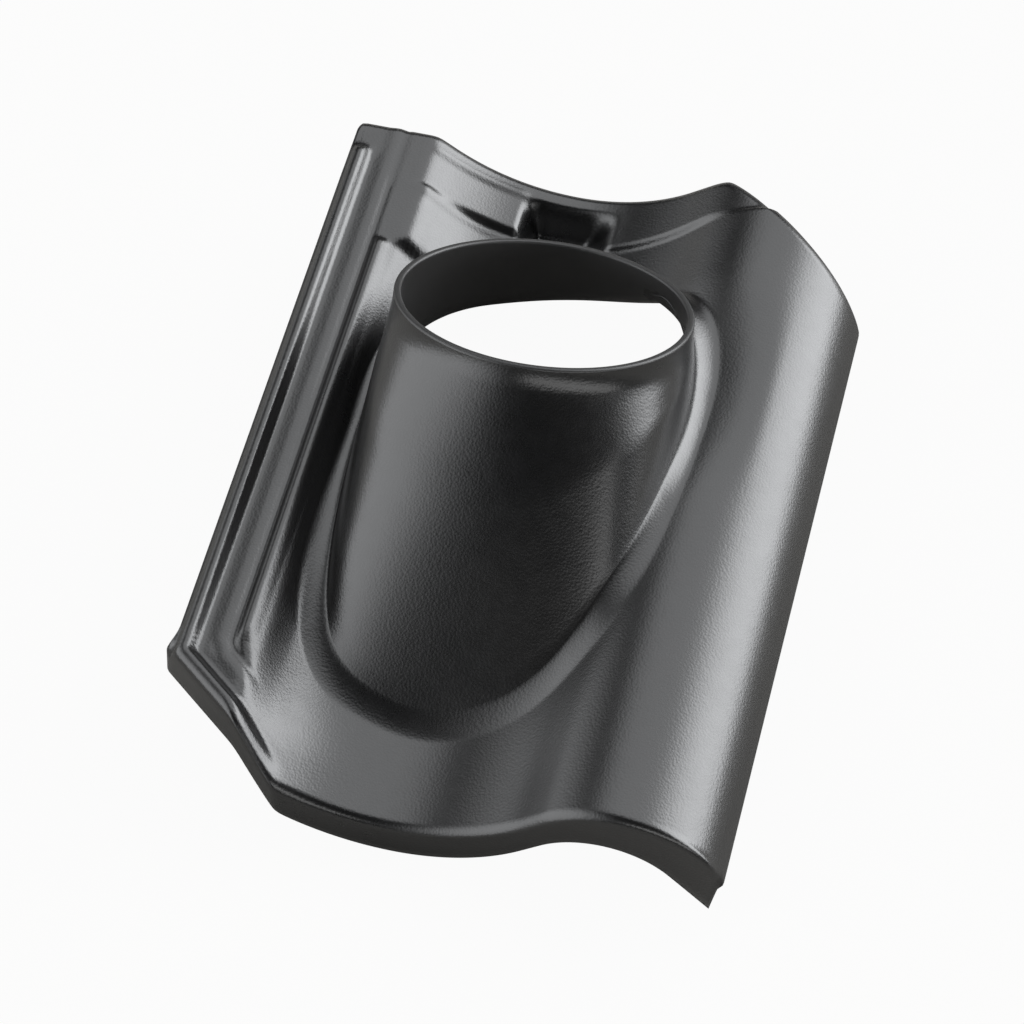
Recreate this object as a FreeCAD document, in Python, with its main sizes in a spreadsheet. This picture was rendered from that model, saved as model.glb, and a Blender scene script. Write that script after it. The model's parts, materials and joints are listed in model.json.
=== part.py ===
import FreeCAD, Part
import math
import os
import Sketcher

# Roof vent tile: one black plastic sheet drawn over a mould, with the S section of a pantile, a lip turned
# down along its front and its front left corner, lock ribs on its left edge, a batten nib under its head and
# a flared collar for a vent pipe. +Y runs up the roof, +Z stands square to the tile, and z = 0 is the bottom
# of the front lip. The sheet is the outer form less an inner form, which is the same one drawn in by the wall.

doc = FreeCAD.newDocument("RoofVentTile")

# Driving dimensions, in millimetres and degrees
sizes = {
    # the sheet and its plan
    "tileWidth": 263.0,
    "tileLength": 367.0,
    "wall": 3.5,
    "frontCornerAcross": 63.0,
    "frontCornerAlong": 50.0,
    "headCornerAcross": 76.0,
    "headCornerAlong": 57.0,
    # the section, from the trough's lowest line out to both edges
    "troughPlace": -18.5,
    "troughLeftRadius": 105.0,
    "leftSlope": 38.0,
    "leftRun": 8.0,
    "shoulderRadius": 8.0,
    "troughRightRadius": 90.0,
    "flankSlope": 42.0,
    "flankRun": 12.0,
    "rollRadius": 49.3,
    "sideSlope": 68.0,
    # the head band, which the next tile covers: a flatter section with its trough raised
    "headBand": 34.0,
    "headRise": 3.0,
    "headLeftSlope": 35.5,
    "headFlankSlope": 38.5,
    "headTurn": 10.0,
    # the lip, its fold and the drawn edge on the left
    "lipHeight": 20.0,
    "lipRollRadius": 40.0,
    "lipSideSlope": 48.0,
    "lipFromRight": 4.0,
    "foldRadius": 6.0,
    "edgeDraft": 15.0,
    # the collar, whose foot is a rounded oval at the level of the lip's bottom
    "rimRadius": 68.7,
    "rimTilt": 26.6,
    "rimAcross": -6.4,
    "rimAlong": 60.2,
    "rimHeight": 91.5,
    "rimBand": 7.0,
    "ovalAcross": -2.4,
    "ovalHalfWidth": 84.0,
    "ovalFront": 156.0,
    "ovalBack": 119.0,
    "ovalBluntness": 0.6,
    "collarBlend": 6.0,
    # the lock ribs along the left edge
    "outerRibRadius": 7.0,
    "outerRibFromHead": 22.0,
    "moundRadius": 8.0,
    "moundRise": 1.8,
    "moundFromEdge": 24.5,
    "innerRibRadius": 6.0,
    "innerRibRise": 4.0,
    "innerRibFromEdge": 32.5,
    "innerRibFromHead": 74.0,
    "ribsFromCorner": 12.0,
    # the batten nib: a pocket in the head band whose front wall bears on the batten
    "nibWidth": 44.0,
    "nibLength": 22.0,
    "nibDepth": 16.0,
    "nibDraft": 3.0,
    # how far the forms and the cutting bodies run past the tile
    "overrun": 40.0,
}

sheet = doc.addObject("Spreadsheet::Sheet", "Sizes")
for row, (alias, number) in enumerate(sizes.items(), start=1):
    sheet.set("A%d" % row, alias)
    sheet.set("B%d" % row, str(number))
    sheet.setAlias("B%d" % row, alias)
doc.recompute()


def size(alias):
    return float(sheet.get(alias))


def make(kind, name, links=None, **formulas):
    # an object of the document, with its links set and its sizes tied to the sheet
    item = doc.addObject(kind, name)
    for key, target in (links or {}).items():
        setattr(item, key, target)
    for key, formula in formulas.items():
        item.setExpression(key, formula)
    return item


# Formulas that more than one feature uses, in the names of the sheet

frontEdge = "(-Sizes.tileLength / 2)"
headEdge = "(Sizes.tileLength / 2)"
leftEdge = "(-Sizes.tileWidth / 2)"
rightEdge = "(Sizes.tileWidth / 2)"
nibFace = "(Sizes.tileLength / 2 - Sizes.headBand)"
headTrough = "(Sizes.lipHeight + Sizes.headRise)"
shoulderRise = ("((Sizes.troughLeftRadius + Sizes.shoulderRadius) * (1 - cos(Sizes.leftSlope))"
                " + Sizes.leftRun * sin(Sizes.leftSlope))")
shoulderLevel = "(Sizes.lipHeight + %s)" % shoulderRise
reach = "(Sizes.tileLength + 2 * Sizes.overrun)"
unturned = "rotation(vector(0; 0; 1); 0)"


def placed(across, along, height, turn=unturned):
    return "placement(vector(%s; %s; %s); %s)" % (across, along, height, turn)


def turnedAbout(axis, angle):
    return "rotation(vector(%s); %s)" % (axis, angle)


# The sections

quarter = math.pi / 2


def towards(angle):
    return FreeCAD.Vector(math.cos(angle), math.sin(angle), 0)


def arc(centre, radius, begin, finish):
    return Part.ArcOfCircle(Part.Circle(centre, FreeCAD.Vector(0, 0, 1), radius), begin, finish)


def sectionSketch(name, troughHeight, troughFormula, leftAlias, flankAlias, rollAlias, sideAlias):
    # tangent arcs and straight runs from the shoulder on the left, through the trough and over the roll, down
    # its side, closed well below the tile
    left = math.radians(size(leftAlias))
    flank = math.radians(size(flankAlias))
    side = math.radians(size(sideAlias))
    trough = FreeCAD.Vector(size("troughPlace"), troughHeight, 0)
    leftCentre = trough + towards(quarter) * size("troughLeftRadius")
    leftFoot = leftCentre + towards(-quarter - left) * size("troughLeftRadius")
    leftTop = leftFoot + towards(2 * quarter - left) * size("leftRun")
    shoulderCentre = leftTop - towards(quarter - left) * size("shoulderRadius")
    shoulder = shoulderCentre + towards(quarter) * size("shoulderRadius")
    rightCentre = trough + towards(quarter) * size("troughRightRadius")
    flankFoot = rightCentre + towards(flank - quarter) * size("troughRightRadius")
    flankTop = flankFoot + towards(flank) * size("flankRun")
    rollCentre = flankTop - towards(quarter + flank) * size(rollAlias)
    sideTop = rollCentre + towards(quarter - side) * size(rollAlias)
    sideFoot = sideTop + towards(-side) * (sideTop.y + size("overrun")) / math.sin(side)
    leftEnd = -size("tileWidth") / 2 - size("overrun")
    shoulderEnd = FreeCAD.Vector(leftEnd, shoulder.y, 0)
    bottomLeft = FreeCAD.Vector(leftEnd, -size("overrun"), 0)

    sketch = doc.addObject("Sketcher::SketchObject", name)
    sketch.Placement = FreeCAD.Placement(
        FreeCAD.Vector(), FreeCAD.Rotation(FreeCAD.Vector(1, 0, 0), 90))
    sketch.addGeometry([
        Part.LineSegment(shoulderEnd, shoulder),
        arc(shoulderCentre, size("shoulderRadius"), quarter - left, quarter),
        Part.LineSegment(leftTop, leftFoot),
        arc(leftCentre, size("troughLeftRadius"), -quarter - left, -quarter),
        arc(rightCentre, size("troughRightRadius"), -quarter, flank - quarter),
        Part.LineSegment(flankFoot, flankTop),
        arc(rollCentre, size(rollAlias), quarter - side, quarter + flank),
        Part.LineSegment(sideTop, sideFoot),
        Part.LineSegment(sideFoot, bottomLeft),
        Part.LineSegment(bottomLeft, shoulderEnd),
    ])

    def rule(kind, *references):
        return sketch.addConstraint(Sketcher.Constraint(kind, *references))

    origin, begin, finish, centre = -1, 1, 2, 3
    for join in ((0, finish, 1, finish), (1, begin, 2, begin), (2, finish, 3, begin), (3, finish, 4, begin),
                 (4, finish, 5, begin), (5, finish, 6, finish), (6, begin, 7, begin)):
        rule("Tangent", *join)
    for line, following in ((7, 8), (8, 9), (9, 0)):
        rule("Coincident", line, finish, following, begin)
    for kind, line in (("Horizontal", 0), ("Horizontal", 8), ("Vertical", 9)):
        rule(kind, line)
    rule("Vertical", 3, centre, 3, finish)

    def dimension(formula, kind, *references):
        sketch.setExpression("Constraints[%d]" % rule(kind, *references), formula)

    for curve, alias in ((1, "shoulderRadius"), (3, "troughLeftRadius"), (4, "troughRightRadius"),
                         (6, rollAlias)):
        dimension("Sizes." + alias, "Radius", curve, size(alias))
    for line, alias in ((2, "leftRun"), (5, "flankRun")):
        dimension("Sizes." + alias, "Distance", line, size(alias))
    for line, slope, formula in ((2, -left, "-Sizes." + leftAlias), (5, flank, "Sizes." + flankAlias),
                                 (7, -side, "-Sizes." + sideAlias)):
        dimension(formula, "Angle", line, slope)
    dimension("Sizes.troughPlace", "DistanceX", origin, begin, 3, finish, trough.x)
    dimension(troughFormula, "DistanceY", origin, begin, 3, finish, trough.y)
    dimension("%s - Sizes.overrun" % leftEdge, "DistanceX", origin, begin, 9, finish, leftEnd)
    dimension("-Sizes.overrun", "DistanceY", origin, begin, 8, finish, -size("overrun"))
    return sketch


mainSection = sectionSketch("MainSection", size("lipHeight"), "Sizes.lipHeight", "leftSlope", "flankSlope",
                            "rollRadius", "sideSlope")
headSection = sectionSketch("HeadSection", size("lipHeight") + size("headRise"), headTrough,
                            "headLeftSlope", "headFlankSlope", "rollRadius", "sideSlope")
lipSection = sectionSketch("LipSection", size("lipHeight"), "Sizes.lipHeight", "leftSlope", "flankSlope",
                           "lipRollRadius", "lipSideSlope")


def drawnIn(name, section):
    return make("Part::Offset2D", name, {"Source": section, "Join": "Intersection"}, Value="-Sizes.wall")


innerMain = drawnIn("InnerMain", mainSection)
innerHead = drawnIn("InnerHead", headSection)


# Bodies that both forms are made with

def prism(name, section, back, front):
    # a section run along Y from front to back
    links = {"Base": section, "DirMode": "Custom", "Dir": FreeCAD.Vector(0, 1, 0), "Solid": True}
    return make("Part::Extrusion", name, links, LengthFwd=back, LengthRev="-(%s)" % front)


def edgeCutter(name, across, along, turn, inset="0"):
    # a block outside one edge of the plan: its inner face runs through a point, turned about Z
    frame = placed(across, along, "0", turnedAbout("0; 0; 1", turn))
    corner = placed("-%s / 2" % reach, "%s - Sizes.tileWidth" % inset, "-%s / 2" % reach)
    return make("Part::Box", name, Length=reach, Width="Sizes.tileWidth", Height=reach,
                Placement=frame + " * " + corner)


def rib(name, across, height, radius, back, front, ballEnds):
    # a round rib along Y, with a ball at each end or cut square
    pieces = [make("Part::Cylinder", name + "Run", Radius=radius, Height="%s - %s" % (back, front),
                   Placement=placed(across, front, height, turnedAbout("1; 0; 0", "-90")))]
    if not ballEnds:
        return pieces[0]
    for end, along in (("Back", back), ("Front", front)):
        pieces.append(make("Part::Sphere", name + end, Radius=radius, Placement=placed(across, along, height)))
    return make("Part::MultiFuse", name, {"Shapes": pieces})


def onAll(edge, shapes):
    # whether an edge lies on every one of the shapes
    closeness = 0.01
    length = edge.LastParameter - edge.FirstParameter
    spots = [Part.Vertex(edge.valueAt(edge.FirstParameter + part * length)) for part in (0.25, 0.5, 0.75)]
    return all(shape.distToShape(spot)[0] < closeness for spot in spots for shape in shapes)


def rounded(name, base, radius, picks):
    # the edges that a test picks, rounded to one radius
    fillet = make("Part::Fillet", name, {"Base": base})
    fillet.Edges = [(index, radius, radius) for index, edge in enumerate(base.Shape.Edges, start=1)
                    if picks(edge)]
    doc.recompute()
    return fillet


def ovalEdge(drawn):
    # the collar's foot: an ellipse that swells towards its front corners, closed smoothly, from its back point
    # on; the front wall slopes, so its foot moves in further and the wall keeps its thickness
    tilt = math.radians(size("rimTilt"))
    ringAlong = size("rimAlong") - size("rimBand") * math.sin(tilt) - size("rimRadius") * math.cos(tilt)
    ringHeight = size("rimHeight") - size("rimBand") * math.cos(tilt) + size("rimRadius") * math.sin(tilt)
    frontSlope = math.atan2(ringHeight, ringAlong + size("ovalFront"))
    halfWidth = size("ovalHalfWidth") - drawn
    front = -size("ovalFront") + drawn / math.sin(frontSlope)
    back = size("ovalBack") - drawn
    halfLength = (back - front) / 2
    count = 16
    points = []
    for index in range(count):
        angle = 2 * math.pi * index / count
        swell = size("ovalBluntness") * (1 - math.cos(angle)) / 2
        across = -halfWidth * math.sin(angle) * (1 + swell * math.cos(angle) ** 2)
        along = halfLength * math.cos(angle) * (1 + swell * math.sin(angle) ** 2)
        points.append(FreeCAD.Vector(across, along + (back + front) / 2, 0))
    curve = Part.BSplineCurve()
    curve.interpolate(Points=points, Parameters=list(range(count + 1)), PeriodicFlag=True)
    return curve.toShape()


def collarBody(name, inset, drawn):
    # a round band at the rim, square to the pipe, over walls that run straight down to the oval foot
    turn = turnedAbout("1; 0; 0", "-Sizes.rimTilt") + " * " + turnedAbout("0; 0; 1", "90")
    ringPlace = placed("Sizes.rimAcross", "Sizes.rimAlong - Sizes.rimBand * sin(Sizes.rimTilt)",
                       "Sizes.rimHeight - Sizes.rimBand * cos(Sizes.rimTilt)", turn)
    ring = make("Part::Circle", name + "Ring", Radius="Sizes.rimRadius - %s" % inset, Placement=ringPlace)
    band = make("Part::Cylinder", name + "Band", Radius="Sizes.rimRadius - %s" % inset,
                Height="Sizes.rimBand + %s" % inset, Placement=ringPlace)
    oval = doc.addObject("Part::Feature", name + "Oval")
    oval.Shape = ovalEdge(drawn)
    oval.Placement = FreeCAD.Placement(FreeCAD.Vector(size("ovalAcross"), 0, 0), FreeCAD.Rotation())
    skirt = make("Part::Loft", name + "Skirt", {"Sections": [ring, oval], "Solid": True, "Ruled": True})
    return band, skirt


def form(name, inset, mainProfile, headProfile):
    # the body that the sheet is drawn over, with its visible faces moved in by the inset; the outer one has
    # round folds, blends and rib ends, which the underside leaves sharp
    isOuter = inset == "0"
    drawn = 0.0 if isOuter else size("wall")

    # the two sections meet in a step, drawn in on whichever side lies lower, that turns towards the head
    # over the roll
    mainRun = prism(name + "MainRun", mainProfile, "%s - %s" % (nibFace, inset), "-%s / 2" % reach)
    headRun = prism(name + "HeadRun", headProfile, "%s / 2" % reach, "%s + %s" % (nibFace, inset))
    shared = make("Part::Common", name + "Shared", {
        "Base": prism(name + "MainWhole", mainProfile, "%s / 2" % reach, "-%s / 2" % reach),
        "Tool": prism(name + "HeadWhole", headProfile, "%s / 2" % reach, "-%s / 2" % reach)})
    corner = make("Part::Box", name + "RollZone", Length=reach, Width=reach, Height=reach,
                  Placement=placed("Sizes.troughPlace + Sizes.nibWidth / 2", nibFace, "-Sizes.overrun",
                                   turnedAbout("0; 0; 1", "Sizes.headTurn"))
                  + " * " + placed("0", "-%s - %s" % (reach, inset), "0"))
    rollRun = make("Part::Common", name + "RollRun", {
        "Base": prism(name + "RollWhole", mainProfile, "%s / 2" % reach, "-%s / 2" % reach),
        "Tool": corner})
    block = make("Part::MultiFuse", name + "Block", {"Shapes": [mainRun, headRun, shared, rollRun]})

    # the drawn edge on the left, the front and the front left corner, with a round fold above the lip
    leftFrame = placed(leftEdge, "0", shoulderRise, turnedAbout("0; 1; 0", "Sizes.edgeDraft"))
    leftCorner = placed("%s - Sizes.tileWidth" % inset, "-%s / 2" % reach, "-%s / 2" % reach)
    leftCutter = make("Part::Box", name + "LeftCutter", Length="Sizes.tileWidth", Width=reach, Height=reach,
                      Placement=leftFrame + " * " + leftCorner)
    frontCutter = edgeCutter(name + "FrontCutter", "0", frontEdge, "0", inset)
    cornerCutter = edgeCutter(
        name + "CornerCutter", "%s + Sizes.frontCornerAcross / 2" % leftEdge,
        "%s + Sizes.frontCornerAlong / 2" % frontEdge,
        "-atan(Sizes.frontCornerAlong / Sizes.frontCornerAcross)", inset)
    cutters = make("Part::MultiFuse", name + "Cutters", {"Shapes": [leftCutter, frontCutter, cornerCutter]})
    carved = make("Part::Cut", name + "Carved", {"Base": block, "Tool": cutters})
    doc.recompute()

    def isFold(edge):
        top = edge.CenterOfMass.z > 0 and onAll(edge, [block.Shape.Shells[0], lipFaces])
        frontTurn = onAll(edge, [frontCutter.Shape, cornerCutter.Shape])
        leftTurn = onAll(edge, [cornerCutter.Shape, leftCutter.Shape])
        return top or frontTurn or leftTurn

    folded = carved
    if isOuter:
        lipFaces = frontCutter.Shape.fuse(cornerCutter.Shape)
        folded = rounded(name + "Folded", carved, size("foldRadius"), isFold)

    # the collar, blended into the sheet
    band, skirt = collarBody(name, inset, drawn)
    joined = make("Part::MultiFuse", name + "Joined", {"Shapes": [folded, skirt, band]})
    doc.recompute()
    skins = folded.Shape.Shells + skirt.Shape.Shells
    blended = joined
    if isOuter:
        blended = rounded(name + "Blended", joined, size("collarBlend"), lambda edge: onAll(edge, skins))

    # the lock ribs: the outer one rounds the drawn edge, the mound and the inner one stand on the shoulder
    ribs = (
        ("OuterRib", "Sizes.lipHeight * tan(Sizes.edgeDraft) + Sizes.outerRibRadius * cos(Sizes.edgeDraft)",
         "Sizes.outerRibRadius", "Sizes.outerRibRadius * (1 - sin(Sizes.edgeDraft))", "Sizes.outerRibFromHead"),
        ("Mound", "Sizes.moundFromEdge", "Sizes.moundRadius", "Sizes.moundRise", "(-Sizes.overrun)"),
        ("InnerRib", "Sizes.innerRibFromEdge", "Sizes.innerRibRadius", "Sizes.innerRibRise",
         "Sizes.innerRibFromHead"),
    )
    raised = [blended]
    for label, fromEdge, radius, rise, fromHead in ribs:
        height = "%s + %s - %s" % (shoulderLevel, rise, radius)
        front = ("(%s + Sizes.frontCornerAlong * (1 - (%s) / Sizes.frontCornerAcross) + Sizes.ribsFromCorner)"
                 % (frontEdge, fromEdge))
        raised.append(rib(name + label, "%s + %s" % (leftEdge, fromEdge), height,
                          "%s - %s" % (radius, inset), "(%s - %s)" % (headEdge, fromHead), front, isOuter))
    ribbed = make("Part::MultiFuse", name + "Ribbed", {"Shapes": raised})

    # the pocket in the head whose underside is the batten nib, with its front wall upright
    pocketLeft = "Sizes.troughPlace - Sizes.nibWidth / 2 - %s" % inset
    pocketRight = "Sizes.troughPlace + Sizes.nibWidth / 2 + %s" % inset
    pocketBack = "%s + Sizes.nibLength + %s" % (nibFace, inset)
    pocketFront = "%s - %s" % (nibFace, inset)
    pocket = make(
        "Part::Wedge", name + "Pocket",
        Xmin=pocketLeft + " + Sizes.nibDraft", Xmax=pocketRight + " - Sizes.nibDraft",
        X2min=pocketLeft + " - Sizes.nibDraft", X2max=pocketRight + " + Sizes.nibDraft",
        Ymin="%s - Sizes.nibDepth - %s" % (headTrough, inset), Ymax=headTrough + " + Sizes.nibDepth",
        Zmin="-(%s - Sizes.nibDraft)" % pocketBack, Zmax="-(%s)" % pocketFront,
        Z2min="-(%s + Sizes.nibDraft)" % pocketBack, Z2max="-(%s)" % pocketFront,
        Placement=placed("0", "0", "0", turnedAbout("1; 0; 0", "90")))
    whole = make("Part::Cut", name + "Form", {"Base": ribbed, "Tool": pocket})
    doc.recompute()
    return whole


outerForm = form("Outer", "0", mainSection, headSection)
innerForm = form("Inner", "Sizes.wall", innerMain, innerHead)
drawnSheet = make("Part::Cut", "DrawnSheet", {"Base": outerForm, "Tool": innerForm})

# The trim: plain cut edges at the head, on the right and across the head's right corner, the lip's bottom at
# one height below the fold, deeper down the roll's side, and the lip's end short of the right edge

headCutter = edgeCutter("HeadCutter", "0", headEdge, "180")
rightCutter = edgeCutter("RightCutter", rightEdge, "0", "90")
cornerCutter = edgeCutter(
    "CornerCutter", "%s - Sizes.headCornerAcross / 2" % rightEdge,
    "%s - Sizes.headCornerAlong / 2" % headEdge,
    "180 deg - atan(Sizes.headCornerAlong / Sizes.headCornerAcross)")
lipCutter = prism("LipCutter", lipSection, "%s / 2" % reach, "-%s / 2" % reach)
lipCutter.setExpression("Placement", placed("0", "0", "-Sizes.lipHeight"))
lipEnd = make("Part::Common", "LipEnd", {
    "Base": edgeCutter("LipEndCutter", "%s - Sizes.lipFromRight" % rightEdge, "0", "90"),
    "Tool": prism("BelowSheet", innerMain, nibFace + " - Sizes.wall", "-%s / 2" % reach)})
trim = make("Part::MultiFuse", "Trim",
            {"Shapes": [headCutter, rightCutter, cornerCutter, lipCutter, lipEnd]})
tile = make("Part::Cut", "Tile", {"Base": drawnSheet, "Tool": trim})
tile.Label = "vent_tile"
doc.recompute()

for item in doc.Objects:
    if "Invalid" in item.State or "Error" in item.State:
        raise RuntimeError("%s did not build" % item.Name)
shape = tile.Shape
if shape.isNull() or not shape.isValid() or len(shape.Solids) != 1:
    raise RuntimeError("the tile is not one valid solid")
os.makedirs("parts", exist_ok=True)
shape.exportStep(os.path.join("parts", tile.Label + ".step"))
print(tile.Label, "volume", round(shape.Volume), "mm3, faces", len(shape.Faces))
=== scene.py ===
import bpy
import json
import math
import numpy as np
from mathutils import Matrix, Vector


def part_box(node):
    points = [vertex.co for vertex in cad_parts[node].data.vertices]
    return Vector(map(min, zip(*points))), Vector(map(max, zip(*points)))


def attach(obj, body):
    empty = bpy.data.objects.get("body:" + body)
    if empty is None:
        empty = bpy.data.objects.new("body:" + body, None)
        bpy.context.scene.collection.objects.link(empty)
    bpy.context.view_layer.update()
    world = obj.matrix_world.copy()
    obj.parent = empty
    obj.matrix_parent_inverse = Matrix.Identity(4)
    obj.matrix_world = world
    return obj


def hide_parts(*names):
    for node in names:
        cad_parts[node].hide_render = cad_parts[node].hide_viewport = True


# Roof vent tile: one black drawn sheet, with the S section of a pantile, lock ribs, a front lip, a batten
# nib and a flared collar. Metres and degrees, in the solid's frame: +Y up the roof, +Z square to the tile.

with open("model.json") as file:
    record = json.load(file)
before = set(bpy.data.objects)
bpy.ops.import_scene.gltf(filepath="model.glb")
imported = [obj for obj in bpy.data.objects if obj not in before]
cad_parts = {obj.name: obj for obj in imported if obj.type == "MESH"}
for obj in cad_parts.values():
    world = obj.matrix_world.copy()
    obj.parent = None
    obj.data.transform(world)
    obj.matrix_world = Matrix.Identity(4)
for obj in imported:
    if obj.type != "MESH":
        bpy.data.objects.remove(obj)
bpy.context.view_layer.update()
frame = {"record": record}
mm = 0.001
lowCorner, highCorner = (np.array(corner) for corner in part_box("vent_tile"))
halfWidth, halfLength = (highCorner - lowCorner)[:2] / 2
pipeBore = next(mount for mount in frame["record"]["mounts"] if mount["name"] == "pipe_bore")
print("frame loaded, box", np.round(highCorner - lowCorner, 4))


# Small helpers on whole arrays

def ease(value, low, high):
    # smooth step: 0 up to low, 1 from high, and 3t^2 - 2t^3 between
    t = np.clip((value - low) / (high - low), 0, 1)
    return t * t * (3 - 2 * t)


def plateau(value, low, high, soft):
    # 1 between low and high, with a smooth step of width soft centred on each end
    rise = ease(value, low - soft / 2, low + soft / 2)
    return rise * (1 - ease(value, high - soft / 2, high + soft / 2))


def strip(value, centre, width, soft):
    # a plateau of a width on both sides of a centre
    return plateau(value, centre - width / 2, centre + width / 2, soft)


def unit(vectors):
    # each vector divided by its length
    return vectors / np.linalg.norm(vectors, axis=-1, keepdims=True)


def bezier(a, b, c, d, t):
    # cubic curve from a to d with handles b and c, one row for each t
    t = np.asarray(t)[:, None, None]
    return (1 - t) ** 3 * a + 3 * (1 - t) ** 2 * t * b + 3 * (1 - t) * t ** 2 * c + t ** 3 * d


# The sheet's height over its plan

section = {
    "troughPlace": -18.5 * mm,   # lowest line of the trough, across
    "troughHeight": 20 * mm,     # and its height over the lip's bottom
    "leftSlope": 38, "flankSlope": 42, "headLeftSlope": 35.5, "headFlankSlope": 38.5,
    "rollRadius": 49.3, "sideSlope": 68,
    "lipRollRadius": 40, "lipSideSlope": 48,     # the lip's bottom lies deeper down the roll's side
    "headRise": 3 * mm,          # the head band's trough stands higher
    "headBand": 34 * mm,         # how far the head band reaches from the head
    "headTurn": 10,              # its step turns towards the head over the roll
    "softening": 5 * mm,         # over which the bends run into each other
    "leftDip": 5.0 * mm,         # how far the left slope sags below its arc
    "leftFall": (-98 * mm, -79 * mm), "leftRise": (-80 * mm, -32 * mm),        # where it sags, across
    "leftFront": (-165 * mm, -105 * mm), "leftBack": (62 * mm, 128 * mm),      # and along
    "valleyDip": 4.8 * mm,       # how far the flank beside the collar sags
    "valleyFall": (20 * mm, 60 * mm), "valleyRise": (70 * mm, 103 * mm),
    "valleyAlong": (15 * mm, 92 * mm, 66 * mm),
    "stepFront": 1 * mm, "stepBack": 3 * mm,     # the head band's step, before and behind its line
    "shoulderReach": 6 * mm,     # how much further the shoulder reaches in by the head
    "shoulderAlong": (110 * mm, 116 * mm),      # where that begins, along
    "shoulderFade": (-90 * mm, -55 * mm),       # and where it ends, across
}


def sectionCurve(leftSlope, flankSlope, rollRadius, sideSlope):
    # arcs (radius in mm, turn) and straight runs (length in mm, 0) walked in equal short steps from the
    # left: the slope is the running sum of the softened bends, the place that of its cosine and sine
    walk = [(60, 0), (8, -leftSlope), (8, 0), (105, leftSlope), (90, flankSlope), (12, 0),
            (rollRadius, -flankSlope - sideSlope), (30, 0)]
    step = 0.1 * mm
    bends = []
    for size, turn in walk:
        count = round(size * mm * (abs(math.radians(turn)) if turn else 1) / step)
        bends.append(np.full(count, math.radians(turn) / count))
    lowest = sum(len(bend) for bend in bends[:4])
    width = round(section["softening"] / step)
    slope = np.cumsum(np.convolve(np.concatenate(bends), np.full(width, 1 / width), mode="same"))
    across, height = np.cumsum(np.cos(slope)) * step, np.cumsum(np.sin(slope)) * step
    return across - across[lowest] + section["troughPlace"], height - height[lowest]


curveSizes = {
    "main": ("leftSlope", "flankSlope", "rollRadius", "sideSlope"),
    "head": ("headLeftSlope", "headFlankSlope", "rollRadius", "sideSlope"),
    "lip": ("leftSlope", "flankSlope", "lipRollRadius", "lipSideSlope"),
}
curves = {name: sectionCurve(*(section[size] for size in sizes)) for name, sizes in curveSizes.items()}

lock = {
    "wallLean": 5.4 * mm,        # how far the drawn edge on the left leans in
    "cornerAcross": 63 * mm, "cornerAlong": 50 * mm,      # the front left corner's cut
    # height over the shoulder against the distance from the fold, in mm
    "outerRib": ((-6, 0), (0, 0.4), (1.8, 3.6), (3.6, 4.9), (6.2, 4.9), (9.2, 0.1), (11, -0.4), (14, 0),
                 (20, 0)),
    "channel": ((12, 0), (14, 0), (17, 0.5), (20, 0.5), (22.5, -0.5), (23.6, -0.5), (25, 0), (30, 0)),
    "innerRib": ((22, 0), (24.2, 0), (26.2, 2.3), (27.8, 2.8), (28.8, 2.6), (33.5, 0.1), (36, 0)),
    "softening": 1.2 * mm,
    "outerRibBack": (161 * mm, 168 * mm), "innerRibBack": (109 * mm, 114 * mm),     # where they end, along
    "innerTurn": (-98.5 * mm, -124 * mm),   # where the inner rib bends in, and where that leads
    "innerEnd": (-87 * mm, -147 * mm),
    "innerFade": 8 * mm,         # the inner rib fades out so far before and behind its bend
    "outerFade": (-92 * mm, -66 * mm), "channelFade": (-96 * mm, -84 * mm),    # where these fade, across
    "channelCut": (9 * mm, 13 * mm),        # and the channel, by the distance from the corner's cut
}


def ribCurve(points):
    # straight lines between a few points, softened by a moving mean
    spots, heights = np.array(points, float).T * mm
    step = 0.05 * mm
    line = np.arange(spots[0], spots[-1], step)
    width = round(lock["softening"] / step)
    padded = np.pad(np.interp(line, spots, heights), width, mode="edge")
    return line, np.convolve(padded, np.full(width, 1 / width), mode="same")[width:-width]


ribCurves = {name: ribCurve(lock[name]) for name in ("outerRib", "channel", "innerRib")}


def ribHeight(x, y):
    # two ribs along the left edge and the channel between them; the outer rib follows the smaller of the
    # distances from the left fold and from the corner's cut, the inner one bends in and fades by the corner
    fromLeft = x + halfWidth - lock["wallLean"]
    across, along = lock["cornerAcross"], lock["cornerAlong"]
    fromCut = ((x + halfWidth) * along + (y + halfLength - along) * across) / math.hypot(across, along)
    fold = np.minimum(fromLeft, fromCut)
    outer = np.interp(fold, *ribCurves["outerRib"]) * (1 - ease(x, *lock["outerFade"]))
    outer = outer * (1 - ease(y, *lock["outerRibBack"]))
    turn, end = lock["innerTurn"], lock["innerEnd"]
    lean = (end[0] - turn[0]) / (turn[1] - end[1])
    bent = fromLeft - lean * np.maximum(turn[1] - y, 0)
    channel = np.interp(np.minimum(fold, bent), *ribCurves["channel"]) * (1 - ease(x, *lock["channelFade"]))
    channel = channel * ease(fromCut, *lock["channelCut"])
    inner = np.interp(bent, *ribCurves["innerRib"])
    inner = inner * (1 - ease(y, *lock["innerRibBack"]))
    inner = inner * (1 - ease(turn[1] - y, -lock["innerFade"], lock["innerFade"]))
    return outer + channel + inner


head = {
    "pocketLeft": -38 * mm, "pocketRight": 1 * mm,        # the nib's pocket
    "pocketFront": 149 * mm, "pocketBack": 169 * mm,
    "pocketFloor": 7 * mm, "pocketSoft": 11 * mm,
    "pocketFade": (13 * mm, 4 * mm),      # its right side rises slowly, from inside to outside that edge
    "barAlong": 148 * mm, "barWidth": 6 * mm, "barSoft": 3 * mm, "barRise": 0.45 * mm,
    "beadAlong": 174 * mm, "beadWidth": 4 * mm, "beadSoft": 4 * mm, "beadRise": 0.7 * mm,
    "barLeft": -87 * mm, "barRight": -42 * mm, "barEnds": 6 * mm,
}


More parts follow.
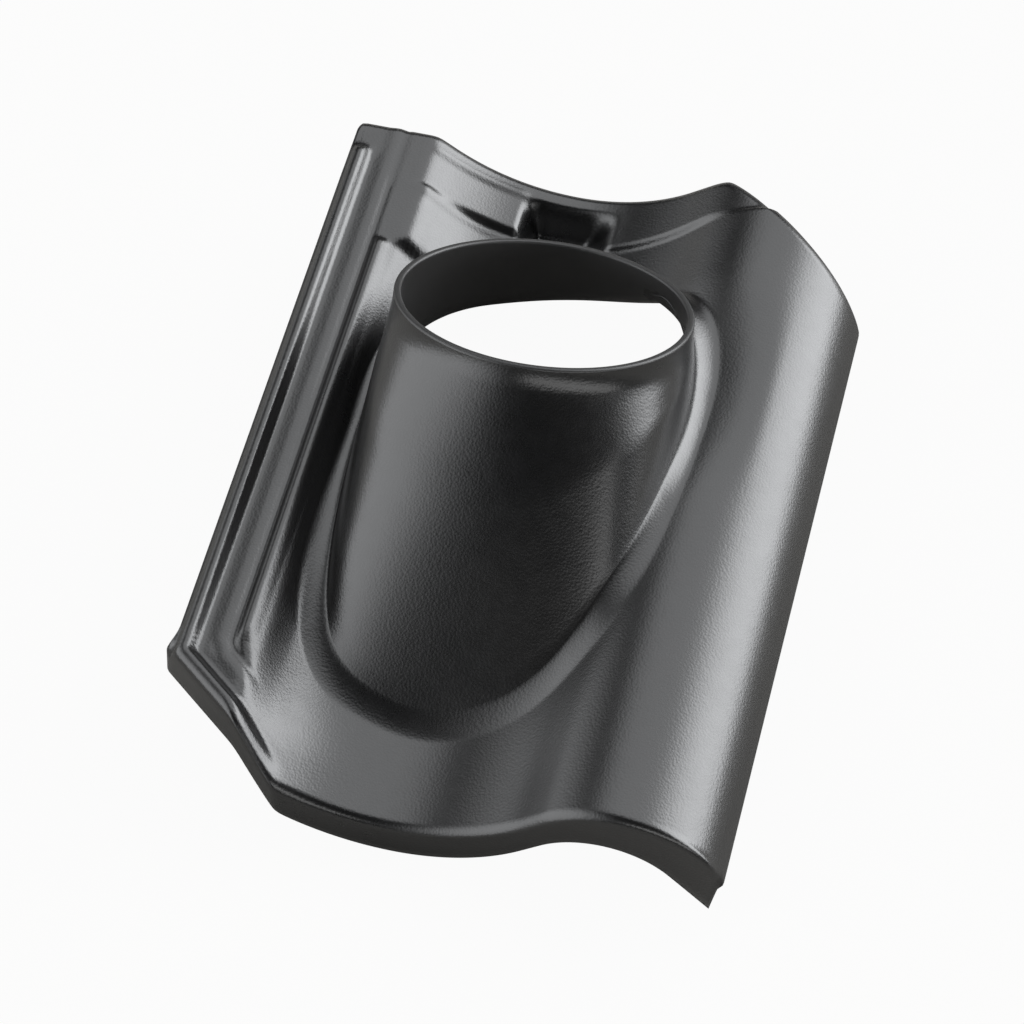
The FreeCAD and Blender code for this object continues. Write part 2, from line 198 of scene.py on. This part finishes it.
def sheetHeight(x, y):
    # the section, which changes to the head's section across a step, plus the ribs and the head's bars, less
    # the nib's pocket
    reach = section["shoulderReach"] * ease(y, *section["shoulderAlong"])
    shifted = x - reach * (1 - ease(x, *section["shoulderFade"]))
    main = np.interp(shifted, *curves["main"])
    sag = ease(shifted, *section["leftFall"]) * (1 - ease(shifted, *section["leftRise"]))
    sag = sag * ease(y, *section["leftFront"]) * (1 - ease(y, *section["leftBack"]))
    valley = ease(x, *section["valleyFall"]) * (1 - ease(x, *section["valleyRise"]))
    valley = valley * plateau(y, *section["valleyAlong"])
    main = main - section["leftDip"] * sag - section["valleyDip"] * valley
    band = np.interp(x, *curves["head"]) + section["headRise"]
    turned = np.maximum(x - head["pocketRight"], 0) * math.tan(math.radians(section["headTurn"]))
    stepLine = halfLength - section["headBand"] + turned
    atHead = ease(y, stepLine - section["stepFront"], stepLine + section["stepBack"])
    height = section["troughHeight"] + main + (band - main) * atHead + ribHeight(x, y)
    alongBar = plateau(x, head["barLeft"], head["barRight"], head["barEnds"])
    bar = strip(y, head["barAlong"], head["barWidth"], head["barSoft"])
    bead = strip(y, head["beadAlong"], head["beadWidth"], head["beadSoft"])
    height = height + alongBar * (head["barRise"] * bar + head["beadRise"] * bead)
    left, right, soft = head["pocketLeft"], head["pocketRight"], head["pocketSoft"]
    inside, outside = head["pocketFade"]
    pocket = ease(x, left - soft / 2, left + soft / 2) * (1 - ease(x, right - inside, right + outside))
    pocket = pocket * plateau(y, head["pocketFront"], head["pocketBack"], soft)
    return height + (head["pocketFloor"] - height) * pocket


def slopeAlong(place, way):
    # how fast the sheet rises from places in the plan along ways in the plan
    reach = 0.5 * mm
    ahead, behind = place + way * reach, place - way * reach
    return (sheetHeight(*ahead.T) - sheetHeight(*behind.T)) / (2 * reach)


# The tile's skin, in columns that run from the rim down the collar and across the sheet to its edge

skin = {
    "columns": 700,
    "wall": 3.5 * mm,
    "rimRound": 1.2 * mm,        # the rim's edges
    "rimBand": 7 * mm,           # the band under the rim, square to the pipe
    "bandBlend": 5 * mm, "bandHandle": 0.6,
    "ovalAcross": -2.4 * mm, "ovalHalfWidth": 84 * mm, "ovalFront": -156 * mm, "ovalBack": 119 * mm,
    "ovalBluntness": 0.6,        # how far the oval swells towards its front corners
    "leftBlend": 5.5 * mm, "rightBlend": 11 * mm, "frontBlend": 24 * mm,     # the collar's foot round
    "toRight": (-0.5, 0.5), "toFront": (0, 0.9),      # where it changes, by the angle's sine and cosine
    "blendRound": 0.55,          # 1 is an arc, less is flatter in the middle
    "creasePlace": 1 / 3,        # how far down the wall the collar's front has a crease
    "creaseRise": 2.2 * mm, "creaseFront": (0, 0.7),
    "headCornerAcross": 76 * mm, "headCornerAlong": 57 * mm,      # the head right corner's cut
    "cornerSharpness": 260,
    "foldRadius": 4.5 * mm,
    "lipFromRight": 4 * mm,      # where the lip ends by the front right corner
    "lipSlant": 6, "lipFade": 2 * mm,        # it fades out along a slanted line
    "lipHeight": 20 * mm,
    "leftEdge": np.array([8, 2]) * mm,       # where the left wall begins and is whole, from the left
    "leanFront": np.array([46, 62]) * mm,    # where it begins to lean, from the front
    "leftFoldEnd": np.array([9, 3]) * mm,    # and where its fold ends, from the head
    "headTaper": 22 * mm, "taperWidth": 35 * mm,      # over which it draws in towards the head
    "headDrop": 2.2 * mm,        # how far the head's edge turns down
    "dropPlace": np.array([62, 30]) * mm,    # and where that begins, from the head
    "edgeRound": 0.8 * mm,
    "foldHold": 0.58,            # how closely the fold keeps to its corner
    "rows": {"rim": 5, "band": 4, "bandBlend": 6, "wall": 16, "blend": 14, "sheet": 16, "lock": 30,
             "fold": 8, "lip": 5, "edge": 6},
    "sheetShare": 0.45,          # the share of the sheet that its inner rows take
    "lockWidth": 33 * mm,        # by the lock its outer rows take this width, or as much as this share
    "lockShare": 0.8,
    "shareSpan": 31,             # columns over which that begins and ends
    "besideSoft": 16 * mm, "besideBack": 30 * mm,     # the ends of the stretch where it is exact
    "ribReach": 8,               # rows on each side that the inner face is evened over, by the ribs
}


def planEdges(inset):
    # the plan's edges, in turn from the head to the left: outward normal and reach from the middle
    trim = skin["edgeRound"]
    frontCut = np.array([-lock["cornerAlong"], -lock["cornerAcross"]])
    headCut = np.array([skin["headCornerAlong"], skin["headCornerAcross"]])
    frontCorner = np.array([-halfWidth, lock["cornerAlong"] - halfLength])
    headCorner = np.array([halfWidth, halfLength - skin["headCornerAlong"]])
    normals = unit(np.array([(0, 1), (-1, 0), frontCut, (0, -1), (1, 0), headCut]))
    reaches = [halfLength - trim, halfWidth, normals[2] @ frontCorner, halfLength, halfWidth - trim,
               normals[5] @ headCorner - trim]
    return normals, np.array(reaches) - inset


def columnAngles():
    # angles in equal steps along each edge of the plan, so that a column stands in every corner
    normals, reaches = planEdges(0)
    corners = np.linalg.solve(np.stack([normals, np.roll(normals, -1, axis=0)], axis=1),
                              np.stack([reaches, np.roll(reaches, -1)], axis=1)[..., None])[..., 0]
    lengths = np.linalg.norm(np.roll(corners, -1, axis=0) - corners, axis=1)
    turns = np.unwrap(np.arctan2(-corners[:, 0] / halfWidth, corners[:, 1] / halfLength))
    turns = np.append(turns, turns[0] + 2 * math.pi)
    counts = np.round(lengths / lengths.sum() * skin["columns"]).astype(int)
    parts = zip(turns, turns[1:], counts)
    return np.concatenate([np.linspace(start, end, count, endpoint=False) for start, end, count in parts])


def planOutline(angle, inset=0.0):
    # a ray at an angle, stretched to the plan, as far as the nearest of the six edges; a high power mean of
    # the edges in place of the nearest rounds the corners
    way = np.stack([-np.sin(angle) * halfWidth, np.cos(angle) * halfLength], axis=-1)
    normals, reaches = planEdges(inset)
    power = skin["cornerSharpness"]
    shares = np.maximum(way @ normals.T / reaches, 0) ** power
    return way / (shares.sum(axis=1) ** (1 / power))[:, None]


def collarColumns(angle):
    # places on the rim's circle, at the foot of its band and on the oval foot, for each angle
    axis = np.array(pipeBore["axis"])
    band = pipeBore["dims"]["length_mm"] * mm
    rimCentre = np.array(pipeBore["pos_m"]) + axis * band / 2
    radius = pipeBore["dims"]["r_mm"] * mm + skin["wall"]
    backWay = np.array([0, axis[2], -axis[1]])
    around = -np.sin(angle)[:, None] * np.array([1, 0, 0]) + np.cos(angle)[:, None] * backWay
    rim = rimCentre + around * radius
    halfOval = (skin["ovalBack"] - skin["ovalFront"]) / 2
    swell = skin["ovalBluntness"] * (1 - np.cos(angle)) / 2
    across = skin["ovalHalfWidth"] * np.sin(angle) * (1 + swell * np.cos(angle) ** 2)
    along = halfOval * np.cos(angle) * (1 + swell * np.sin(angle) ** 2)
    oval = np.stack([skin["ovalAcross"] - across, along + (skin["ovalBack"] + skin["ovalFront"]) / 2,
                     np.zeros_like(angle)], axis=-1)
    return axis, around, rim, rim - axis * skin["rimBand"], oval


def wallFoot(top, bottom):
    # where straight lines from top to bottom cross the sheet, by halving
    above, below = np.zeros(len(top)), np.ones(len(top))
    for _ in range(40):
        middle = (above + below) / 2
        place = top + (bottom - top) * middle[:, None]
        clear = place[:, 2] > sheetHeight(place[:, 0], place[:, 1])
        above, below = np.where(clear, middle, above), np.where(clear, below, middle)
    return place


def onSheet(plan):
    # places in the plan lifted onto the sheet
    return np.concatenate([plan, sheetHeight(plan[..., 0], plan[..., 1])[..., None]], axis=-1)


rimTurn = np.linspace(0, math.pi / 2, skin["rows"]["rim"])[:, None, None]      # round the rim's edges


def rimRows(axis, around, rim, bandFoot, wallWay):
    # the rim's round outer edge, the band under it, and a curve from the band into the wall
    rows, bend = skin["rows"], skin["bandBlend"]
    inward = around * skin["rimRound"] * (1 - np.sin(rimTurn))
    rimEdge = rim - inward - axis * skin["rimRound"] * (1 - np.cos(rimTurn))
    bandStart, bandEnd = bandFoot + axis * bend, bandFoot + wallWay * bend
    down = np.linspace(0, 1, rows["band"])[1:-1, None, None]
    band = rimEdge[-1] + (bandStart - rimEdge[-1]) * down
    handle = bend * skin["bandHandle"]
    bandBend = bezier(bandStart, bandStart - axis * handle, bandEnd - wallWay * handle, bandEnd,
                      np.linspace(0, 1, rows["bandBlend"]))
    return rimEdge, band, bandBend


def footBlend(angle, bandFoot, oval, wallWay, foldStart):
    # a curve that leaves the wall and meets the sheet at the tangent lengths of a round, whose radius changes
    # from the left to the right and to the front
    foot = wallFoot(bandFoot, oval)
    sheetWay = unit(foldStart - foot[:, :2])
    rise = slopeAlong(foot[:, :2], sheetWay)
    leave = unit(np.concatenate([sheetWay, rise[:, None]], axis=1))
    turn = math.pi - np.arccos(np.clip(-(wallWay * leave).sum(axis=1), -1, 1))
    onRight, onFront = ease(-np.sin(angle), *skin["toRight"]), ease(-np.cos(angle), *skin["toFront"])
    radius = skin["leftBlend"] + (skin["rightBlend"] - skin["leftBlend"]) * onRight
    radius = radius + (skin["frontBlend"] - radius) * onFront
    reach = radius * np.tan(turn / 2)
    top = foot - wallWay * reach[:, None]
    end = onSheet(foot[:, :2] + sheetWay * (reach * leave[:, 0] / sheetWay[:, 0])[:, None])
    endRise = slopeAlong(end[:, :2], sheetWay)
    arrive = unit(np.concatenate([sheetWay, endRise[:, None]], axis=1))
    handle = (skin["blendRound"] * 4 / 3 * np.tan(turn / 4) * radius)[:, None]
    return bezier(top, top + wallWay * handle, end - arrive * handle, end,
                  np.linspace(0, 1, skin["rows"]["blend"]))


def wallRows(angle, wallWay, top, bottom):
    # straight lines down the collar's wall, moved out on its front by two slopes that meet in a crease
    straight = np.linspace(0, 1, skin["rows"]["wall"])[1:-1, None, None]
    wall = top + (bottom - top) * straight
    place = skin["creasePlace"]
    crease = np.minimum(straight / place, (1 - straight) / (1 - place))
    wallNormal = unit(np.cross(wallWay, np.roll(top, -1, axis=0) - np.roll(top, 1, axis=0)))
    rise = skin["creaseRise"] * ease(-np.cos(angle), *skin["creaseFront"])
    return wall + wallNormal * crease * rise[:, None]


def sheetRun(outline, outward, onLeft, foldStart, blendEnd):
    # rows across the sheet in two zones; by the lock the outer zone has one width, so that its rows lie along
    # the ribs, and a moving mean of the zones' shares leads from there to the other edges
    rows = skin["rows"]
    run = foldStart - blendEnd[:, :2]
    depth = (run * outward).sum(axis=1)
    byLock = np.maximum(onLeft, (outline[:, 0] < -halfWidth / 2) & (outline[:, 1] < 0))
    lockShare = np.minimum(skin["lockWidth"] / depth, skin["lockShare"])
    share = skin["sheetShare"] + byLock * (1 - lockShare - skin["sheetShare"])
    smooth = np.full(skin["shareSpan"], 1 / skin["shareSpan"])
    evened = np.convolve(np.pad(share, len(smooth) // 2, mode="wrap"), smooth, mode="valid")
    soft = skin["besideSoft"]
    front, back = lock["cornerAlong"] - halfLength + soft, halfLength - skin["besideBack"]
    share = evened + (share - evened) * (onLeft * plateau(outline[:, 1], front, back, soft))
    steps = np.append(np.linspace(0, 1, rows["sheet"], endpoint=False), np.linspace(1, 2, rows["lock"]))
    steps = steps[1:, None]
    across = np.minimum(steps, 1) * share + np.maximum(steps - 1, 0) * (1 - share)
    return onSheet(blendEnd[:, :2] + run * across[..., None])


def edgeRun(outline, outward, onLeft, drawIn, foldStart, start):
    # on the front, the front left corner and the left the sheet folds down into a lip, elsewhere it runs out
    rows = skin["rows"]
    end, fade = halfWidth - skin["lipFromRight"], skin["lipFade"]
    slanted = outline[:, 0] + (outline[:, 1] + halfLength) * skin["lipSlant"]
    folded = 1 - ease(slanted, end - fade, end + fade)
    onLeft = onLeft * (1 - ease(outline[:, 1], *(halfLength - skin["leftFoldEnd"])))
    cutSide = (outline[:, 0] < 0) & (outline[:, 1] < 0)
    folded = np.where(cutSide, 1, np.maximum(folded, onLeft))
    lean = lock["wallLean"] * onLeft * ease(outline[:, 1], *(-halfLength + skin["leanFront"]))
    lean = lean * (1 - drawIn)
    topPlan = outline - outward * lean[:, None]
    gap = ((topPlan - foldStart) * outward).sum(axis=1)
    cornerHeight = start[:, 2] + slopeAlong(foldStart, outward) * gap
    corner = np.concatenate([topPlan, cornerHeight[:, None]], axis=1)
    lipBottom = section["troughHeight"] + np.interp(outline[:, 0], *curves["lip"]) - skin["lipHeight"]
    bottom = np.concatenate([outline, (lipBottom + skin["edgeRound"])[:, None]], axis=1)
    lipTop = corner + unit(bottom - corner) * skin["foldRadius"]
    hold = skin["foldHold"]
    fold = bezier(start, start + (corner - start) * hold, lipTop + (corner - lipTop) * hold, lipTop,
                  np.linspace(0, 1, rows["fold"]))[1:]
    lip = lipTop + (bottom - lipTop) * np.linspace(0, 1, rows["lip"])[1:, None, None]
    turnedDown = np.concatenate([fold, lip])
    runOut = np.linspace(0, 1, len(turnedDown) + 1)[1:, None]
    plain = onSheet(foldStart + (outline - foldStart) * runOut[..., None])
    atHead = ease(outline[:, 1], *(halfLength - skin["dropPlace"]))
    plain[..., 2] -= skin["headDrop"] * atHead * runOut ** 2
    return plain + (turnedDown - plain) * folded[:, None]


def roundEdge(outer, normals):
    # half a turn round the sheet's edge, from the outer to the inner face
    wayOut = unit(outer[-1] - outer[-2])
    half = np.linspace(math.pi / 2, -math.pi / 2, skin["rows"]["edge"] + 2)[1:-1, None, None]
    inward = normals[-1] * skin["wall"] / 2 * (1 - np.sin(half))
    return outer[-1] - inward + wayOut * skin["edgeRound"] * np.cos(half)


def innerFace(outer, normals, edgeCount):
    # every third row of the outer face, moved in by the wall along its normals, from the edge back to the
    # rim; by the ribs the mean of the rows near it takes its place
    ribRows, reach = skin["rows"]["lock"], skin["ribReach"]
    first = len(outer) - edgeCount - ribRows
    number = np.arange(len(outer))
    byRibs = ((number >= first) & (number < first + ribRows))[:, None, None]
    near = np.clip(number[:, None] + np.arange(-reach, reach + 1), first, first + ribRows - 1)
    under = np.where(byRibs, outer[near].mean(axis=1), outer)
    underNormals = unit(np.where(byRibs, normals[near].mean(axis=1), normals))
    kept = np.unique(np.append(np.arange(len(rimTurn) + 1, len(outer), 3), len(outer) - 1))[::-1]
    return (under - underNormals * skin["wall"])[kept]


def tileSkin():
    # rows of places, one for each column, from the rim's top over the outer face, round the sheet's edge and
    # back along the inner face to the rim
    angle = columnAngles()
    axis, around, rim, bandFoot, oval = collarColumns(angle)
    wallWay = unit(oval - bandFoot)
    outline = planOutline(angle)
    foldStart = planOutline(angle, skin["foldRadius"])
    onLeft = ease(-outline[:, 0], *(halfWidth - skin["leftEdge"]))
    drawIn = ease(outline[:, 1], halfLength - skin["headTaper"], halfLength)
    drawIn = drawIn * (1 - ease(outline[:, 0], -halfWidth, skin["taperWidth"] - halfWidth))
    outline[:, 0] += lock["wallLean"] * drawIn
    edgeWay = unit(np.roll(outline, -1, axis=0) - np.roll(outline, 1, axis=0))
    outward = np.stack([edgeWay[:, 1], -edgeWay[:, 0]], axis=-1)

    rimEdge, band, bandBend = rimRows(axis, around, rim, bandFoot, wallWay)
    blend = footBlend(angle, bandFoot, oval, wallWay, foldStart)
    collarWall = wallRows(angle, wallWay, bandBend[-1], blend[0])
    sheetRows = sheetRun(outline, outward, onLeft, foldStart, blend[-1])
    edgeRows = edgeRun(outline, outward, onLeft, drawIn, foldStart, sheetRows[-1])
    outer = np.concatenate([rimEdge, band, bandBend, collarWall, blend, sheetRows, edgeRows])
    aroundWay = np.roll(outer, -1, axis=1) - np.roll(outer, 1, axis=1)
    normals = unit(np.cross(np.gradient(outer, axis=0), aroundWay))
    edge = roundEdge(outer, normals)
    inner = innerFace(outer, normals, len(edgeRows))
    backTurn = rimTurn[::-1]
    innerEdge = rim - around * (skin["wall"] - skin["rimRound"] * (1 - np.sin(backTurn)))
    innerEdge = innerEdge - axis * skin["rimRound"] * (1 - np.cos(backTurn))
    return np.clip(np.concatenate([outer, edge, inner, innerEdge]), lowCorner, highCorner), len(outer)


def closedMesh(name, places):
    # a grid of places closed both ways into a mesh of quads, its faces turned outwards by its signed volume
    rows, columns = places.shape[:2]
    row, column = np.meshgrid(np.arange(rows), np.arange(columns), indexing="ij")
    nextRow, nextColumn = (row + 1) % rows, (column + 1) % columns
    corners = np.stack([row * columns + column, row * columns + nextColumn,
                        nextRow * columns + nextColumn, nextRow * columns + column], axis=-1).reshape(-1, 4)
    points = places.reshape(-1, 3)
    a, b, c, d = (points[corners[:, k]] for k in range(4))
    volume = (np.cross(b - a, c - a) * a).sum() + (np.cross(c - a, d - a) * a).sum()
    if volume < 0:
        corners = corners[:, ::-1]
    mesh = bpy.data.meshes.new(name)
    mesh.vertices.add(len(points))
    mesh.vertices.foreach_set("co", points.astype(np.float32).ravel())
    mesh.loops.add(corners.size)
    mesh.loops.foreach_set("vertex_index", corners.astype(np.int32).ravel())
    mesh.polygons.add(len(corners))
    mesh.polygons.foreach_set("loop_start", np.arange(0, corners.size, 4, dtype=np.int32))
    mesh.polygons.foreach_set("use_smooth", np.ones(len(corners), dtype=bool))
    mesh.update(calc_edges=True)
    mesh.validate()
    piece = bpy.data.objects.new(name, mesh)
    bpy.context.scene.collection.objects.link(piece)
    print(name, len(corners) * 2, "triangles, volume", round(abs(volume) / 6 * 1e6, 1), "cm3")
    return piece


places, outerRows = tileSkin()
tile = closedMesh("tile_sheet", places)
outerFace = np.zeros(places.shape[:2], dtype=np.float32)
outerFace[len(rimTurn) - 1:outerRows] = 1
tile.data.attributes.new("outerFace", "FLOAT", "POINT").data.foreach_set("value", outerFace.ravel())
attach(tile, "root")
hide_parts("vent_tile")
print("tile made")


# Shader expressions: a socket with operators, which add Math nodes

class Value:
    def __init__(self, tree, socket):
        self.tree, self.socket = tree, socket

    def node(self, kind, settings=None, inputs=None, output=0):
        # any node: its settings first, then the values or links of its sockets
        made = self.tree.nodes.new(kind)
        for key, setting in (settings or {}).items():
            setattr(made, key, setting)
        for key, given in (inputs or {}).items():
            if isinstance(given, Value):
                self.tree.links.new(given.socket, made.inputs[key])
            else:
                made.inputs[key].default_value = given
        return Value(self.tree, made.outputs[output])

    def math(self, operation, first, second):
        return self.node("ShaderNodeMath", {"operation": operation}, {0: first, 1: second})

    def __add__(self, other):
        return self.math("ADD", self, other)

    def __radd__(self, other):
        return self.math("ADD", other, self)

    def __sub__(self, other):
        return self.math("SUBTRACT", self, other)

    def __rsub__(self, other):
        return self.math("SUBTRACT", other, self)

    def __mul__(self, other):
        return self.math("MULTIPLY", self, other)

    def __rmul__(self, other):
        return self.math("MULTIPLY", other, self)

    def ramp(self, low, high):
        # 0 below low, 1 above high, smooth between
        return self.node("ShaderNodeMapRange", {"interpolation_type": "SMOOTHSTEP"},
                         {"Value": self, "From Min": low, "From Max": high})

    def noise(self, scale, detail):
        return self.node("ShaderNodeTexNoise", {}, {"Vector": self, "Scale": scale, "Detail": detail})

    def mix(self, first, second):
        # colours mixed by this value
        return self.node("ShaderNodeMix", {"data_type": "RGBA"}, {0: self, 6: first, 7: second}, output=2)


def newMaterial(name):
    # a new material, its node tree and its shader
    material = bpy.data.materials.new(name)
    material.use_nodes = True
    tree = material.node_tree
    shader = next(node for node in tree.nodes if node.type == "BSDF_PRINCIPLED")
    return material, tree, shader


plastic = {
    "black": (0.0018, 0.0018, 0.0020, 1), "grey": (0.0042, 0.0038, 0.0036, 1), "greyShare": 0.7,
    "dust": (0.05, 0.045, 0.04, 1), "dustShare": 0.1,
    "grainSize": 900, "grainSoft": 0.6, "grainDepth": 0.055 * mm,
    "ior": 1.5, "sheen": 0.88,
    "gloss": 0.27, "dull": 0.31, "inside": 0.50,      # roughness where clear, where cloudy and inside
}


def blackSheet():
    # satin black: leather grain on the outer face, a little cloudiness in colour and gloss, few dust marks
    material, tree, shader = newMaterial("black_sheet")
    place = Value(tree, tree.nodes.new("ShaderNodeTexCoord").outputs["Object"])
    outer = Value(tree, tree.nodes.new("ShaderNodeAttribute").outputs["Fac"])
    outer.socket.node.attribute_name = "outerFace"
    cloud = place.noise(14, 3).ramp(0.3, 0.7)
    fine = place.noise(160, 3).ramp(0.35, 0.7)
    cells = place.node("ShaderNodeTexVoronoi", {"feature": "SMOOTH_F1"},
                       {"Vector": place, "Scale": plastic["grainSize"], "Smoothness": plastic["grainSoft"]})
    grain = 1 - cells
    specks = place.noise(900, 2).ramp(0.74, 0.80) * place.noise(18, 2).ramp(0.5, 0.7)
    colour = (cloud * plastic["greyShare"]).mix(plastic["black"], plastic["grey"])
    colour = (specks * plastic["dustShare"]).mix(colour, plastic["dust"])
    gloss = plastic["gloss"] + (plastic["dull"] - plastic["gloss"]) * (cloud * 0.5 + fine * 0.5)
    roughness = plastic["inside"] + outer * (gloss - plastic["inside"])
    bump = place.node("ShaderNodeBump", {}, {"Strength": 1.0, "Distance": plastic["grainDepth"],
                                             "Height": grain * outer})
    for key, given in (("Base Color", colour), ("Roughness", roughness), ("Normal", bump)):
        tree.links.new(given.socket, shader.inputs[key])
    shader.inputs["IOR"].default_value = plastic["ior"]
    shader.inputs["Specular IOR Level"].default_value = plastic["sheen"]
    return material


tile.data.materials.append(blackSheet())
print("material made")


# Floor, light and camera

stageSizes = {
    "floor": 12.0, "floorColour": (0.34, 0.33, 0.31, 1), "floorRoughness": 0.9, "cameraWhite": 0.95,
    "frontBox": (40, 27, 2.0, 2.8, 0.7, 1.9),      # azimuth, elevation, distance, width, height, strength
    "lampCentre": (0, 0, 0.04),
    "ambient": 0.03, "wallColour": (0.965, 0.98, 1.0, 1),
    # soft glows on the walls: azimuth, elevation, the angles at which each begins and ends to fade, strength
    "glows": ((130, 18, 6, 36, 7.0), (-74, 8, 22, 64, 2.5), (176, 52, 16, 37, 1.9)),
}


def direction(azimuth, elevation):
    # from the tile outwards; azimuth 0 is the front, 90 the right
    turn, lift = math.radians(azimuth), math.radians(elevation)
    return np.array([math.sin(turn) * math.cos(lift), -math.cos(turn) * math.cos(lift), math.sin(lift)])


def whiteFloor():
    # a pale plane that keeps the shadow; for the camera most of its brightness is its own
    half = stageSizes["floor"] / 2
    corners = [(-half, -half, 0), (half, -half, 0), (half, half, 0), (-half, half, 0)]
    mesh = bpy.data.meshes.new("floor")
    mesh.from_pydata(corners, [], [(0, 1, 2, 3)])
    floor = bpy.data.objects.new("floor", mesh)
    bpy.context.scene.collection.objects.link(floor)
    material, tree, shader = newMaterial("white_floor")
    shader.inputs["Base Color"].default_value = stageSizes["floorColour"]
    shader.inputs["Roughness"].default_value = stageSizes["floorRoughness"]
    camera = Value(tree, tree.nodes.new("ShaderNodeLightPath").outputs["Is Camera Ray"])
    glow = tree.nodes.new("ShaderNodeEmission")
    glow.inputs["Strength"].default_value = 1.0
    mix = tree.nodes.new("ShaderNodeMixShader")
    tree.links.new((camera * stageSizes["cameraWhite"]).socket, mix.inputs[0])
    tree.links.new(shader.outputs[0], mix.inputs[1])
    tree.links.new(glow.outputs[0], mix.inputs[2])
    output = next(node for node in tree.nodes if node.type == "OUTPUT_MATERIAL")
    tree.links.new(mix.outputs[0], output.inputs["Surface"])
    mesh.materials.append(material)


def softBox(name, azimuth, elevation, distance, width, height, strength):
    # an area lamp on a sphere round the tile, facing it
    lamp = bpy.data.lights.new(name, "AREA")
    lamp.shape, lamp.size, lamp.size_y = "RECTANGLE", width, height
    lamp.energy = strength * width * height * math.pi
    box = bpy.data.objects.new(name, lamp)
    box.location = np.array(stageSizes["lampCentre"]) + direction(azimuth, elevation) * distance
    box.rotation_euler = (math.radians(90 - elevation), 0, math.radians(azimuth))
    bpy.context.scene.collection.objects.link(box)


def studioWorld():
    # dark walls with soft round glows: each fades with the angle between its centre and the direction
    world = bpy.data.worlds.new("studio")
    bpy.context.scene.world = world
    world.use_nodes = True
    tree = world.node_tree
    way = Value(tree, tree.nodes.new("ShaderNodeTexCoord").outputs["Generated"])
    strength = stageSizes["ambient"]
    for azimuth, elevation, full, faded, glow in stageSizes["glows"]:
        near = way.node("ShaderNodeVectorMath", {"operation": "DOT_PRODUCT"},
                        {0: way, 1: direction(azimuth, elevation)}, output=1)
        strength = strength + near.ramp(math.cos(math.radians(faded)), math.cos(math.radians(full))) * glow
    background = next(node for node in tree.nodes if node.type == "BACKGROUND")
    background.inputs["Color"].default_value = stageSizes["wallColour"]
    tree.links.new(strength.socket, background.inputs["Strength"])


view = {
    "azimuth": 13.8, "elevation": 54.3,      # seen from the front, a little to the right, from above
    "target": (-3.12 * mm, -15.26 * mm, 31.39 * mm),
    "distance": 1.7727, "focalPixels": 3900, "pictureWidth": 1024,
}


def photoCamera():
    # a camera on a sphere round its target, its lens from the focal length in pixels
    lens = bpy.data.cameras.new("photo_view")
    lens.sensor_fit, lens.sensor_width = "HORIZONTAL", 36
    lens.lens = view["focalPixels"] / view["pictureWidth"] * lens.sensor_width
    lens.clip_end = 50
    camera = bpy.data.objects.new("photo_view", lens)
    away = direction(view["azimuth"], view["elevation"]) * view["distance"]
    camera.location = np.array(view["target"]) + away
    camera.rotation_euler = (math.radians(90 - view["elevation"]), 0, math.radians(view["azimuth"]))
    bpy.context.scene.collection.objects.link(camera)
    bpy.context.scene.camera = camera


whiteFloor()
softBox("front_box", *stageSizes["frontBox"])
studioWorld()
photoCamera()
bpy.context.scene.view_settings.view_transform = "Standard"
print("stage made")
